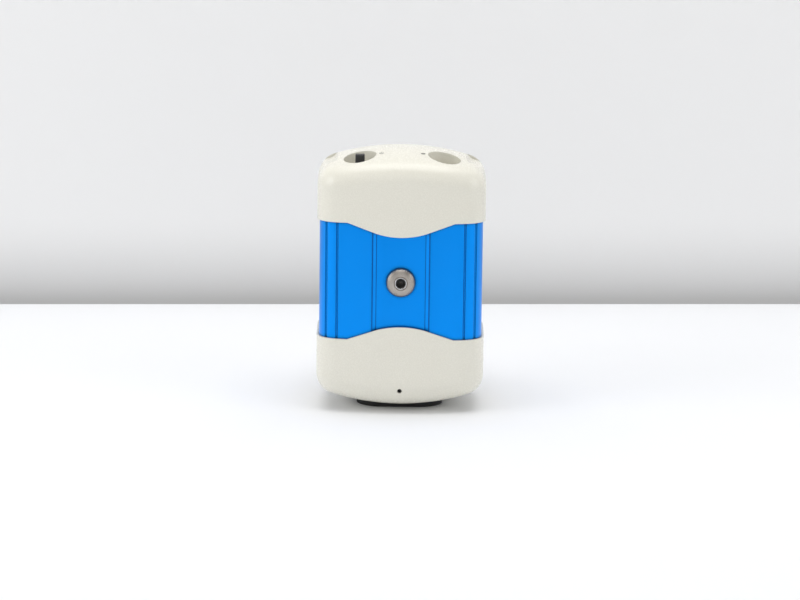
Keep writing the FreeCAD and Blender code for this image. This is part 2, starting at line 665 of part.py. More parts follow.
def make_sensor():
    board_back = 9.6
    blank = block("SensorBoardBlank", "36", "1.6", "36", (0, 8.8, MID))
    holes = []
    for x_side in (-1, 1):
        for z_side in (-1, 1):
            place = (x_side * 14.5, 6, MID + z_side * 14.5)
            holes.append(cylinder("SensorBoardHole", "1.1", "6", place, FACING_BACK))
    keep(cut("SensorBoard", blank, holes), "sensor_board")

    package = block("PackageBlank", "12", "1.8", "12", (0, board_back + 0.9, MID))
    recess = box("PackageRecess", "9", "1.8", "9", (-4.5, board_back + 0.8, MID - 4.5))
    keep(cut("SensorPackage", package, [recess]), "sensor_package")
    keep(block("SensorDie", "7.4", "0.4", "5.6", (0, board_back + 1.0, MID)), "sensor_die")
    keep(block("SensorCover", "10.4", "0.5", "10.4", (0, board_back + 2.05, MID)), "sensor_cover_glass")

    spacer = turned("SensorSpacer", [("1", "0"), ("2.2", "0"), ("2.2", "7.4"), ("1", "7.4")],
                    (14.5, board_back, MID + 14.5), FACING_BACK)
    keep(four_of("SensorSpacers", spacer, (0, 0, 1)), "sensor_spacers")
    profile = [("0", "-1.4"), ("1.9", "-1.4"), ("1.9", "0"), ("0.98", "0"), ("0.98", "6.5"), ("0", "6.5")]
    screw = turned("SensorScrew", profile, (14.5, board_back - 1.6, MID + 14.5), FACING_BACK)
    keep(four_of("SensorScrews", screw, (0, 0, 1)), "sensor_screws")


def make_boards():
    """Main board upright behind the block, and a small level board under the wells."""
    board_y, board_front = -4.2, -5.0
    blank = block("MainBoardBlank", "40", "1.6", "66", (0, board_y, 41))
    holes = []
    for x_side in (-1, 1):
        for z_side in (-1, 1):
            place = (x_side * 9.5, -7, MID + z_side * 9.5)
            holes.append(cylinder("MainBoardHole", "1.35", "6", place, FACING_BACK))
    holes.append(box("BushNotch", "15", "6", "7", (-7.5, -7, 7)))
    keep(cut("MainBoard", blank, holes), "main_board")

    spacer = turned("MainSpacer", [("1.26", "0"), ("2.4", "0"), ("2.4", "5.4"), ("1.26", "5.4")],
                    (9.5, -10.4, MID + 9.5), FACING_BACK)
    keep(four_of("MainSpacers", spacer, (0, 0, 1)), "main_spacers")
    profile = [("0", "-11"), ("1.23", "-11"), ("1.23", "0"), ("2.3", "0"), ("2.3", "1.6"), ("0", "1.6")]
    screw = turned("MainScrew", profile, (9.5, board_y + 0.8, MID + 9.5), FACING_BACK)
    keep(four_of("MainScrews", screw, (0, 0, 1)), "main_screws")

    chips = [block("Processor", "12", "1.2", "12", (0, board_front - 0.6, MID)),
             block("Memory", "10", "1", "8", (-13, board_y + 1.3, 29)),
             block("Regulator", "5", "1.4", "5", (12, board_y + 1.5, 30)),
             block("UsbBridge", "7", "1", "7", (12, board_y + 1.3, 64))]
    keep(grouped("BoardChips", chips), "board_chips")
    keep(block("ThermalPad", "12", "4.2", "12", (0, -8.3, MID)), "thermal_pad")

    keep(block("TopBoard", "38", "13", "1.6", (0, -10.4, 77.9), "2"), "top_board")
    keep(block("BoardHeader", "16", "3", "6.1", (0, -6.5, 74.05)), "board_header")
    keep(block("FlexRibbon", "12", "11.4", "0.3", (0, 2.3, 35)), "flex_ribbon")
    connectors = [block("RibbonSocketA", "14", "2", "2.4", (0, -2.4, 35)),
                  block("RibbonSocketB", "14", "1.6", "2.4", (0, 7.2, 35))]
    sockets = []
    for index, blank_socket in enumerate(connectors):
        slot = box("RibbonSlot", "12.1", "6", "0.32", (-6.05, -5 + 7 * index, 34.84))
        sockets.append(cut("RibbonSocket", blank_socket, [slot]))
    keep(grouped("RibbonSockets", sockets), "ribbon_sockets")


def make_controls():
    """Slide switch under the left well and data socket under the right well."""
    x, y, knob = SIZE["wellX"], SIZE["wellY"], SIZE["knobSize"]
    blank = block("SwitchBlank", "11", "7", "6.4", (-x + 1.5, y, 81.9))
    slot = box("SwitchSlot", "knobSize + knobTravel + 0.3", "knobSize + 0.2", "3",
               (-x - knob / 2 - 0.15, y - knob / 2 - 0.1, 83.1))
    keep(cut("SwitchBody", blank, [slot]), "switch_body")
    slider = block("SwitchKnob", "knobSize", "knobSize", "9", (-x, y, 87.8))
    round_edges(slider, "0.3", is_upright)
    keep(slider, "switch_knob")

    shell = block("UsbShellBlank", "8.94", "3.26", "7.2", (x, y, 82.3), "1.5")
    hollow = block("UsbHollow", "8.3", "2.6", "8", (x, y, 83.3), "1.25")
    keep(cut("UsbShell", shell, [hollow]), "usb_socket")
    keep(block("UsbTongue", "6.6", "0.7", "5", (x, y, 81.8)), "usb_tongue")


def make_guide_jack():
    """Small jack at the back of the bottom cap for the guiding lead."""
    centre = (0, 0, 16)
    profile = [("1.78", "22.6"), ("3", "22.6"), ("3", "18.4"), ("4.2", "18.4"), ("4.2", "8.4"),
               ("0", "8.4"), ("0", "9.6"), ("1.78", "9.6")]
    keep(turned("GuideJack", profile, centre, FACING_BACK), "guide_jack")
    ring = [("3.05", "22.1"), ("4.6", "22.1"), ("4.6", "23"), ("4.2", "23.4"), ("3.05", "23.4")]
    keep(turned("JackNut", ring, centre, FACING_BACK), "jack_nut")


def make_reset():
    """Reset button behind the pinhole, which presses a small switch on the main board."""
    height = SIZE["resetHeight"]
    profile = [("0", "-19.85"), ("resetRadius", "-19.85"), ("resetRadius", "-13.4"), ("2.3", "-13.4"),
               ("2.3", "-12.6"), ("resetRadius", "-12.6"), ("resetRadius", "-11.6"), ("0", "-11.6")]
    keep(turned("ResetButton", profile, (0, 0, height), FACING_BACK), "reset_button")
    switch = block("ResetSwitchBody", "6", "3", "10", (0, -9.7, height + 2.7))
    stand = block("ResetSwitchStand", "6", "3.2", "4.2", (0, -6.6, height + 5.6))
    keep(fused("ResetSwitch", [switch, stand]), "reset_switch")


make_top_cap()
make_bottom_cap()
make_sleeve()
make_gaskets()
make_case_screws()
make_front_screw()
make_mounting_block()
make_foot()
make_tripod_bush()
make_nose()
make_sensor()
make_boards()
make_controls()
make_guide_jack()
make_reset()
doc.recompute()

for item in doc.Objects:
    if "Invalid" in item.State or "Error" in item.State:
        raise RuntimeError("%s failed: %s" % (item.Label, item.State))
os.makedirs("parts", exist_ok=True)
for piece in subparts:
    if piece.Shape.isNull() or not piece.Shape.isValid():
        raise RuntimeError("bad shape: " + piece.Label)
    piece.Shape.exportStep("parts/%s.step" % piece.Label)
    box_of = piece.Shape.BoundBox
    print("%-20s solids %d  %.1f..%.1f  %.1f..%.1f  %.1f..%.1f" % (
        piece.Label, len(piece.Shape.Solids), box_of.XMin, box_of.XMax,
        box_of.YMin, box_of.YMax, box_of.ZMin, box_of.ZMax))
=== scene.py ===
import json
import math

import bmesh
import bpy
from mathutils import Matrix, Vector


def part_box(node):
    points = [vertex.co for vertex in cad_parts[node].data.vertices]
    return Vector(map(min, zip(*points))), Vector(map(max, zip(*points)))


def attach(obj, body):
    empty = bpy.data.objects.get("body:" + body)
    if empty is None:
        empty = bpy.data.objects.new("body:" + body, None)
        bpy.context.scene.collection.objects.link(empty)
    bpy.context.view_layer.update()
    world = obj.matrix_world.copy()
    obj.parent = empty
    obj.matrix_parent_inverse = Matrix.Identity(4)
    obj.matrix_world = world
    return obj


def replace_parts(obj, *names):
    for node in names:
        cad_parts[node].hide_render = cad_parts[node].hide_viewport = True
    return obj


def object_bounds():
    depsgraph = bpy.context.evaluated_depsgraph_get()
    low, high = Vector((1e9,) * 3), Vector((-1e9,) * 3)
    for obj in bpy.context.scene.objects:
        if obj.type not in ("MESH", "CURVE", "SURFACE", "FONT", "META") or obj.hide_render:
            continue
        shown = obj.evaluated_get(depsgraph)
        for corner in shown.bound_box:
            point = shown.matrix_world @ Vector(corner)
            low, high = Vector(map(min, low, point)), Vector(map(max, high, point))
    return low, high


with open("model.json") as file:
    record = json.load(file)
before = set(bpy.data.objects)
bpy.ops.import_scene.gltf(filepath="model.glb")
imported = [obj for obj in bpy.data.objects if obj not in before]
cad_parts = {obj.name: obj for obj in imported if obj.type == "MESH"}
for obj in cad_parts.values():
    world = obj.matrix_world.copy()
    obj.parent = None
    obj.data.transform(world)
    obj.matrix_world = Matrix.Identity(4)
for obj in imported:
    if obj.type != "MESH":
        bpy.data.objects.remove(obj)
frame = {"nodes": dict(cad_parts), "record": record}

cadLow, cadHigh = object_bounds()
nodes = frame["nodes"]
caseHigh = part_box("top_cap")[1]
standLow = cadLow.z
caseHeight = caseHigh.z - standLow
print("frame loaded:", len(nodes), "nodes")


def linked(name, data):
    obj = bpy.data.objects.new(name, data)
    bpy.context.scene.collection.objects.link(obj)
    return obj


def newMaterial(name):
    material = bpy.data.materials.new(name)
    material.use_nodes = True
    return material, material.node_tree, material.node_tree.nodes["Principled BSDF"]


viewing = {
    "distance": 1.25,
    "elevation": 11.2,
    "aimHeight": 0.40,      # part of the height that the lens points at
    "aimSide": -0.0002,
    "roll": 0.7,
    "lens": 156.0,
    "farthest": 20,
}


def makeCamera():
    data = bpy.data.cameras.new("Camera")
    data.lens = viewing["lens"]
    data.clip_end = viewing["farthest"]
    camera = linked("Camera", data)
    lift = math.radians(viewing["elevation"])
    middle = Vector((0, 0, standLow + caseHeight / 2))
    place = middle + viewing["distance"] * Vector((0, -math.cos(lift), math.sin(lift)))
    aim = Vector((viewing["aimSide"], 0, standLow + caseHeight * viewing["aimHeight"]))
    turn = (aim - place).to_track_quat("-Z", "Y").to_matrix()
    roll = Matrix.Rotation(math.radians(viewing["roll"]), 3, "Z")
    camera.matrix_world = Matrix.Translation(place) @ (turn @ roll).to_4x4()
    bpy.context.scene.camera = camera


lights = {
    "world": (1.0, 1.0, 1.0), "worldStrength": 0.42,
    "areas": [
        # name, place, size, power, colour
        ("topSoftbox", (0.0, -0.02, 0.90), 0.75, 5.0, (1.0, 0.995, 0.985)),
        ("leftSoftbox", (-0.85, -0.35, 0.40), 0.6, 2.5, (1.0, 1.0, 1.0)),
        ("rightSoftbox", (0.85, -0.35, 0.40), 0.6, 1.7, (1.0, 1.0, 1.0)),
        ("frontFill", (0.0, -1.3, 0.55), 0.7, 0.7, (1.0, 1.0, 1.0)),
    ],
}


def makeLights():
    world = bpy.data.worlds.new("Studio")
    bpy.context.scene.world = world
    world.use_nodes = True
    backdrop = world.node_tree.nodes["Background"]
    backdrop.inputs["Color"].default_value = (*lights["world"], 1)
    backdrop.inputs["Strength"].default_value = lights["worldStrength"]
    target = Vector((0, 0, standLow + caseHeight / 2))
    for name, place, size, power, colour in lights["areas"]:
        data = bpy.data.lights.new(name, "AREA")
        data.shape = "SQUARE"
        data.size = size
        data.energy = power
        data.color = colour
        lamp = linked(name, data)
        lamp.location = place
        lamp.rotation_euler = (target - Vector(place)).to_track_quat("-Z", "Y").to_euler()


stage = {
    "tableHalf": 1.6, "tableBack": 0.174, "tableFront": -1.6, "tableColour": (0.88, 0.89, 0.91),
    "wallLow": -1, "wallHeight": 1.6, "wallColour": (0.85, 0.85, 0.85),
    # painted shade: the backdrop is greyed where it meets the table, standing in for the shade in that corner
    "wallFootShade": 0.60,       # grey of the backdrop where it meets the table
    "fade": (-0.01, 0.036), "gap": 0.009, "skew": 0.061, "rough": 0.85, "specular": 0.2,
}


def meshObject(name, verts, faces):
    mesh = bpy.data.meshes.new(name)
    mesh.from_pydata(verts, [], faces)
    mesh.update()
    return linked(name, mesh)


def makeStage():
    half, back, front = stage["tableHalf"], stage["tableBack"], stage["tableFront"]
    skew = stage["skew"] * half
    table = meshObject("Table", [(-half, front, standLow), (half, front, standLow),
                                 (half, back + skew, standLow), (-half, back - skew, standLow)],
                       [(0, 1, 2, 3)])
    wallY = back + stage["gap"]
    foot, top = stage["wallLow"], stage["wallHeight"]
    wall = meshObject("Wall", [(-half, wallY - skew, foot), (half, wallY + skew, foot),
                               (half, wallY + skew, top), (-half, wallY - skew, top)], [(0, 1, 2, 3)])
    for obj, colour, foot in ((table, stage["tableColour"], None),
                              (wall, stage["wallColour"], stage["wallFootShade"])):
        material, tree, shader = newMaterial(obj.name + "Paper")
        shader.inputs["Base Color"].default_value = (*colour, 1)
        shader.inputs["Roughness"].default_value = stage["rough"]
        shader.inputs["Specular IOR Level"].default_value = stage["specular"]
        if foot:
            # painted shade: the backdrop darkens softly towards the table, standing in for the shade in the
            # corner between them
            coordinates = tree.nodes.new("ShaderNodeTexCoord")
            split = tree.nodes.new("ShaderNodeSeparateXYZ")
            fade = tree.nodes.new("ShaderNodeMapRange")
            fade.interpolation_type = "SMOOTHSTEP"
            tree.links.new(coordinates.outputs["Object"], split.inputs[0])
            tree.links.new(split.outputs["Z"], fade.inputs["Value"])
            fade.inputs["From Min"].default_value, fade.inputs["From Max"].default_value = stage["fade"]
            blend = tree.nodes.new("ShaderNodeMix")
            blend.data_type = "RGBA"
            blend.inputs[6].default_value = (foot, foot, foot, 1)
            blend.inputs[7].default_value = (*colour, 1)
            tree.links.new(fade.outputs["Result"], blend.inputs[0])
            tree.links.new(blend.outputs[2], shader.inputs["Base Color"])
        # seen from behind or from below, the paper lets the view through
        rear = tree.nodes.new("ShaderNodeNewGeometry")
        clear = tree.nodes.new("ShaderNodeBsdfTransparent")
        either = tree.nodes.new("ShaderNodeMixShader")
        tree.links.new(rear.outputs["Backfacing"], either.inputs[0])
        tree.links.new(shader.outputs[0], either.inputs[1])
        tree.links.new(clear.outputs[0], either.inputs[2])
        tree.links.new(either.outputs[0], tree.nodes["Material Output"].inputs["Surface"])
        obj.data.materials.append(material)


makeCamera()
makeLights()
makeStage()
print("camera, light and stage ready")


def newGroup(name, inputs, outputs):
    group = bpy.data.node_groups.new(name, "ShaderNodeTree")
    for label, kind, value in inputs:
        socket = group.interface.new_socket(label, in_out="INPUT", socket_type=kind)
        socket.default_value = value
    for label, kind in outputs:
        group.interface.new_socket(label, in_out="OUTPUT", socket_type=kind)
    return group, group.nodes.new("NodeGroupInput"), group.nodes.new("NodeGroupOutput")


def mathNode(tree, operation, first, second=None):
    node = tree.nodes.new("ShaderNodeMath")
    node.operation = operation
    for index, value in enumerate((first, second)):
        if value is None:
            continue
        if isinstance(value, (int, float)):
            node.inputs[index].default_value = value
        else:
            tree.links.new(value, node.inputs[index])
    return node.outputs[0]


def nodeOf(tree, kind, **values):
    node = tree.nodes.new(kind)
    for key, value in values.items():
        setattr(node, key, value)
    return node


def ramp(tree, source, low, high):
    node = nodeOf(tree, "ShaderNodeMapRange", clamp=True)
    node.inputs["From Min"].default_value = low
    node.inputs["From Max"].default_value = high
    tree.links.new(source, node.inputs["Value"])
    return node.outputs["Result"]


def buildGrain():
    # fine moulding or blasting texture, with a slow drift under it
    group, start, end = newGroup(
        "SurfaceGrain",
        [("Vector", "NodeSocketVector", (0, 0, 0)), ("Fine Scale", "NodeSocketFloat", 2500.0),
         ("Broad Scale", "NodeSocketFloat", 60.0)],
        [("Fine", "NodeSocketFloat"), ("Broad", "NodeSocketFloat")])
    for label, output, detail in (("Fine Scale", "Fine", 2.0), ("Broad Scale", "Broad", 3.0)):
        noise = nodeOf(group, "ShaderNodeTexNoise")
        noise.inputs["Detail"].default_value = detail
        group.links.new(start.outputs["Vector"], noise.inputs["Vector"])
        group.links.new(start.outputs[label], noise.inputs["Scale"])
        group.links.new(noise.outputs["Fac"], end.inputs[output])
    return group


def buildEdges():
    # where the surface bends sharply, for a painted highlight along the edges, and a normal that rounds them
    group, start, end = newGroup("EdgeCatch", [("Radius", "NodeSocketFloat", 0.0004)],
                                 [("Edge", "NodeSocketFloat"), ("Soft Normal", "NodeSocketVector")])
    bevel = nodeOf(group, "ShaderNodeBevel", samples=8)
    group.links.new(start.outputs["Radius"], bevel.inputs["Radius"])
    surface = nodeOf(group, "ShaderNodeNewGeometry")
    dot = nodeOf(group, "ShaderNodeVectorMath", operation="DOT_PRODUCT")
    group.links.new(bevel.outputs["Normal"], dot.inputs[0])
    group.links.new(surface.outputs["Normal"], dot.inputs[1])
    group.links.new(ramp(group, dot.outputs["Value"], 0.985, 0.85), end.inputs["Edge"])
    group.links.new(bevel.outputs["Normal"], end.inputs["Soft Normal"])
    return group


def buildDust():
    # thin settled dust and fingerprints, more on faces that look up
    group, start, end = newGroup("SettledDust", [("Vector", "NodeSocketVector", (0, 0, 0)),
                                                 ("Amount", "NodeSocketFloat", 0.2)],
                                 [("Dust", "NodeSocketFloat")])
    noise = nodeOf(group, "ShaderNodeTexNoise")
    noise.inputs["Scale"].default_value = 180.0
    noise.inputs["Detail"].default_value = 6.0
    group.links.new(start.outputs["Vector"], noise.inputs["Vector"])
    surface = nodeOf(group, "ShaderNodeNewGeometry")
    split = nodeOf(group, "ShaderNodeSeparateXYZ")
    group.links.new(surface.outputs["Normal"], split.inputs[0])
    upward = ramp(group, split.outputs["Z"], -0.2, 1.0)
    speckle = ramp(group, noise.outputs["Fac"], 0.45, 0.75)
    both = mathNode(group, "MULTIPLY", upward, speckle)
    group.links.new(mathNode(group, "MULTIPLY", both, start.outputs["Amount"]), end.inputs["Dust"])
    return group


def buildPaintedCreviceShade():
    # painted shade: how far a point is tucked into a groove or under an edge, from ambient occlusion, for
    # darkening the colour there
    group, start, end = newGroup("CreviceShade", [("Reach", "NodeSocketFloat", 0.0015)],
                                 [("Crevice", "NodeSocketFloat")])
    shelter = nodeOf(group, "ShaderNodeAmbientOcclusion", samples=8)
    group.links.new(start.outputs["Reach"], shelter.inputs["Distance"])
    group.links.new(ramp(group, shelter.outputs["AO"], 0.92, 0.35), end.inputs["Crevice"])
    return group


grainGroup, edgeHighlightGroup, dustGroup, paintedShadeGroup = buildGrain(), buildEdges(), buildDust(), buildPaintedCreviceShade()


def place(tree, group, values):
    node = nodeOf(tree, "ShaderNodeGroup", node_tree=group)
    for label, value in values.items():
        if isinstance(value, bpy.types.NodeSocket):
            tree.links.new(value, node.inputs[label])
        else:
            node.inputs[label].default_value = value
    return node


def mixColour(tree, factor, first, second):
    node = nodeOf(tree, "ShaderNodeMix", data_type="RGBA")
    tree.links.new(factor, node.inputs[0])
    for socket, value in ((node.inputs[6], first), (node.inputs[7], second)):
        if isinstance(value, bpy.types.NodeSocket):
            tree.links.new(value, socket)
        else:
            socket.default_value = (*value, 1)
    return node.outputs[2]


def shade(colour, factor):
    return tuple(min(1.0, channel * factor) for channel in colour)


finishes = {
    # fine and broad are the scales of the grain, drift its change of colour, the rest are amounts, among them
    # the painted shade in grooves and under edges and the painted highlight along sharp edges
    "ivory_plastic": dict(colour=(0.785, 0.765, 0.675), rough=0.27, fine=3200, broad=45, bump=0.015,
                          drift=0.02, edge=0.2, edgeHighlightColour=(0.90, 0.89, 0.83), dust=0.01, coat=0.25,
                          paintedShadeAmount=0.3),
    "blue_anodised": dict(colour=(0.001, 0.285, 0.95), metal=0.88, rough=0.33, fine=2600, broad=70, bump=0.08,
                          stretch=(1, 1, 0.02), drift=0.10, edge=0.3, edgeHighlightColour=(0.04, 0.42, 0.95),
                          dust=0.01, paintedShadeAmount=0.95),
    # painted shadow: darker blue for the strips at the foot of the channel's flanks
    "blue_painted_shadow": dict(colour=(0.001, 0.10, 0.40), metal=0.8, rough=0.45, fine=2600, broad=70, bump=0.05,
                        stretch=(1, 1, 0.02), drift=0.1, edge=0.1),
    "black_rubber": dict(colour=(0.020, 0.020, 0.021), rough=0.75, fine=1800, broad=120, bump=0.15,
                         drift=0.15, edge=0.15, dust=0.08),
    "dark_steel": dict(colour=(0.03, 0.028, 0.027), metal=0.7, rough=0.42, fine=2400, broad=90, bump=0.06,
                       drift=0.2, edge=0.5, edgeHighlightColour=(0.35, 0.34, 0.33)),
    "stainless": dict(colour=(0.23, 0.20, 0.175), metal=1.0, rough=0.3, fine=2600, broad=700, bump=0.2,
                      drift=0.3, edge=0.7, edgeHighlightColour=(0.95, 0.90, 0.84)),
    "bare_aluminium": dict(colour=(0.72, 0.72, 0.74), metal=1.0, rough=0.38, fine=1800, broad=90, bump=0.1,
                           stretch=(0.05, 1, 1), drift=0.12, edge=0.3),
    "brass": dict(colour=(0.72, 0.52, 0.22), metal=1.0, rough=0.3, fine=1800, broad=110, bump=0.08,
                  drift=0.15, edge=0.3),
    "black_anodised": dict(colour=(0.018, 0.018, 0.02), metal=0.6, rough=0.42, fine=2800, broad=80, bump=0.08,
                           drift=0.12, edge=0.35, edgeHighlightColour=(0.16, 0.16, 0.17), dust=0.02),
    "black_plastic": dict(colour=(0.02, 0.02, 0.021), rough=0.48, fine=2600, broad=100, bump=0.1, drift=0.2,
                          edge=0.2, edgeHighlightColour=(0.10, 0.10, 0.10), dust=0.02),
    "circuit_board": dict(colour=(0.012, 0.13, 0.05), rough=0.28, fine=900, broad=260, bump=0.05, drift=0.35,
                          edge=0.4, edgeHighlightColour=(0.45, 0.42, 0.25), coat=0.4),
    "ceramic_grey": dict(colour=(0.42, 0.39, 0.37), rough=0.55, fine=2200, broad=120, bump=0.1,
                         drift=0.1, edge=0.2),
    "silicon": dict(colour=(0.09, 0.07, 0.14), metal=0.5, rough=0.14, fine=4000, broad=900, bump=0.03,
                    drift=0.4, edge=0.3),
    "chip_black": dict(colour=(0.025, 0.025, 0.028), rough=0.6, fine=2600, broad=150, bump=0.12,
                       drift=0.2, edge=0.2),
    "pad_grey": dict(colour=(0.36, 0.38, 0.42), rough=0.8, fine=1500, broad=150, bump=0.15,
                     drift=0.15, edge=0.1),
    "amber_film": dict(colour=(0.62, 0.28, 0.04), rough=0.25, fine=2000, broad=200, bump=0.04,
                       drift=0.2, edge=0.2, coat=0.4),
    "bright_steel": dict(colour=(0.66, 0.66, 0.67), metal=1.0, rough=0.24, fine=2600, broad=120, bump=0.06,
                         drift=0.1, edge=0.3),
}


look = {
    # painted shade: the colour deep in a groove or under an edge is darkened to this part of itself
    "paintedShadeTone": 0.12,                        # part of the colour left deep in a groove
    "roughSpread": 0.12, "dustColour": (0.55, 0.54, 0.52), "dustRough": 0.4,
    "coatRough": 0.2, "reliefDepth": 0.0002,
}


def makeFinish(name, colour, rough, fine, broad, bump, drift, edge, metal=0.0, stretch=(1, 1, 1),
               edgeHighlightColour=None, dust=0.0, coat=0.0, paintedShadeAmount=0.6):
    material, tree, shader = newMaterial(name)
    coordinates = nodeOf(tree, "ShaderNodeTexCoord")
    mapping = nodeOf(tree, "ShaderNodeMapping")
    mapping.inputs["Scale"].default_value = stretch
    tree.links.new(coordinates.outputs["Object"], mapping.inputs["Vector"])
    grain = place(tree, grainGroup, {"Vector": mapping.outputs["Vector"], "Fine Scale": fine,
                                     "Broad Scale": broad})
    edges = place(tree, edgeHighlightGroup, {})
    tone = mixColour(tree, grain.outputs["Broad"], shade(colour, 1 - drift), shade(colour, 1 + drift))
    # painted highlight: lighter colour along sharp edges, where they catch the light
    tone = mixColour(tree, mathNode(tree, "MULTIPLY", edges.outputs["Edge"], edge), tone,
                     edgeHighlightColour or shade(colour, 1.3))
    # painted shade: colour darkened in grooves, in recesses and under edges, where shade falls
    paintedShadeNode = place(tree, paintedShadeGroup, {})
    tone = mixColour(tree, mathNode(tree, "MULTIPLY", paintedShadeNode.outputs["Crevice"], paintedShadeAmount), tone,
                     shade(colour, look["paintedShadeTone"]))
    spread = look["roughSpread"]
    roughness = mathNode(tree, "ADD", mathNode(tree, "MULTIPLY", grain.outputs["Fine"], spread),
                         rough - spread / 2)
    if dust:
        settled = place(tree, dustGroup, {"Vector": coordinates.outputs["Object"], "Amount": dust})
        tone = mixColour(tree, settled.outputs["Dust"], tone, look["dustColour"])
        roughness = mathNode(tree, "ADD", roughness,
                             mathNode(tree, "MULTIPLY", settled.outputs["Dust"], look["dustRough"]))
    tree.links.new(tone, shader.inputs["Base Color"])
    tree.links.new(roughness, shader.inputs["Roughness"])
    shader.inputs["Metallic"].default_value = metal
    shader.inputs["Coat Weight"].default_value = coat
    shader.inputs["Coat Roughness"].default_value = look["coatRough"]
    relief = nodeOf(tree, "ShaderNodeBump")
    relief.inputs["Strength"].default_value = bump
    relief.inputs["Distance"].default_value = look["reliefDepth"]
    tree.links.new(grain.outputs["Fine"], relief.inputs["Height"])
    tree.links.new(edges.outputs["Soft Normal"], relief.inputs["Normal"])
    tree.links.new(relief.outputs["Normal"], shader.inputs["Normal"])
    return material


def makeGlass(name):
    # coated cover glass: clear, with a faint green cast
    material, tree, shader = newMaterial(name)
    coordinates = nodeOf(tree, "ShaderNodeTexCoord")
    grain = place(tree, grainGroup, {"Vector": coordinates.outputs["Object"], "Fine Scale": 900.0,
                                     "Broad Scale": 90.0})
    tone = mixColour(tree, grain.outputs["Broad"], (0.86, 0.95, 0.93), (0.93, 0.97, 0.98))
    tree.links.new(tone, shader.inputs["Base Color"])
    tree.links.new(mathNode(tree, "MULTIPLY", grain.outputs["Fine"], 0.06), shader.inputs["Roughness"])
    shader.inputs["Transmission Weight"].default_value = 1.0
    shader.inputs["IOR"].default_value = 1.5
    return material


materials = {name: makeFinish(name, **values) for name, values in finishes.items()}
materials["clear_glass"] = makeGlass("clear_glass")
slotOf = {part["node"]: part["material_slot"] for part in frame["record"]["subparts"]}
for node, obj in nodes.items():
    material = materials[slotOf[node]]
    if not obj.data.materials:
        obj.data.materials.append(material)
    for index in range(len(obj.data.materials)):
        obj.data.materials[index] = material
print("finishes ready:", len(materials))


def finished(obj, material, body="case"):
    obj.data.materials.clear()
    obj.data.materials.append(materials[material])
    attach(obj, body)
    return obj


def smoothBelow(mesh, degrees):
    # smooth faces, with the edges above this angle kept sharp
    mesh.shade_smooth()
    mesh.set_sharp_from_angle(angle=math.radians(degrees))


def meshOf(bm, name, degrees=None):
    mesh = bpy.data.meshes.new(name)
    bm.to_mesh(mesh)
    bm.free()
    if degrees:
        smoothBelow(mesh, degrees)
    return mesh


mm = 0.001


def spanOf(node):
    # width, depth and height in mm
    low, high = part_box(node)
    return [(top - bottom) * 1000 for bottom, top in zip(low, high)]


def roundRing(reach, height):
    return lambda angle: (reach, height)


def hexRing(flat, height):
    def ring(angle):
        return flat / math.cos((angle + math.pi / 6) % (math.pi / 3) - math.pi / 6), height
    return ring


def lathe(name, rings, segments, matrix, closedLoop=False, degrees=30):
    # rings run from one end to the other, each giving (reach, height) in mm for an angle
    bm = bmesh.new()
    loops = []
    for ring in rings:
        loop = []
        for step in range(segments):
            angle = 2 * math.pi * step / segments
            reach, height = ring(angle)
            loop.append(bm.verts.new(matrix @ Vector((reach * math.cos(angle) * mm,
                                                      reach * math.sin(angle) * mm, height * mm))))
        loops.append(loop)
    pairs = list(zip(loops, loops[1:]))
    if closedLoop:
        pairs.append((loops[-1], loops[0]))
    for lower, upper in pairs:
        for step in range(segments):
            follow = (step + 1) % segments
            bm.faces.new((lower[step], lower[follow], upper[follow], upper[step]))
    if not closedLoop:
        for loop in (loops[0], loops[-1]):
            centre = bm.verts.new(sum((vert.co for vert in loop), Vector()) / segments)
            for step in range(segments):
                bm.faces.new((loop[step], loop[(step + 1) % segments], centre))
    bmesh.ops.recalc_face_normals(bm, faces=bm.faces)
    return linked(name, meshOf(bm, name, degrees))


def joined(name, objects):
    bm = bmesh.new()
    for obj in objects:
        bm.from_mesh(obj.data)
        bpy.data.objects.remove(obj)
    return linked(name, meshOf(bm, name))


def softened(points, radius, steps=3):
    # profile with each inner corner rounded by a small arc
    result = [points[0]]
    for before, corner, after in zip(points, points[1:], points[2:]):
        here = Vector(corner)
        back = Vector(before) - here
        ahead = Vector(after) - here
        reach = min(radius, back.length * 0.45, ahead.length * 0.45)
        start = here + back.normalized() * reach
        end = here + ahead.normalized() * reach
        for step in range(steps + 1):
            part = step / steps
            bend = (1 - part) ** 2 * start + 2 * part * (1 - part) * here + part ** 2 * end
            result.append((bend.x, bend.y))
    result.append(points[-1])
    return result


def ringsOf(profile, radius=0.15):
    return [roundRing(reach, height) for reach, height in softened(profile, radius)]


facingBack = Matrix.Rotation(math.radians(-90), 4, "X")
facingFront = Matrix.Rotation(math.radians(90), 4, "X")


def centreOf(node):
    low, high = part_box(node)
    return (low + high) / 2


def seat(node, x=0.0):
    # on the front end of a node's axis, with +Z towards the back
    return Matrix.Translation((x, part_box(node)[0].y, centreOf(node).z)) @ facingBack


# large screw in the channel
frontScrew = {
    "segments": 144, "shank": 2.98, "head": 5.2, "rise": 2.6, "rim": 0.55, "crown": 2.2,
    "flat": 1.55, "socketDepth": 2.0, "lathePitch": 0.36, "latheDepth": 0.09,
    "threadPitch": 1.0, "threadCut": 0.35, "threadEnd": -2.2,
}


def underHead(spec):
    # where the head of the front screw meets the channel's floor, with +Z out of the head
    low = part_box("front_screw")[0]
    return Matrix.Translation((0, low.y + spec["rise"] * mm, centreOf("front_screw").z)) @ facingFront


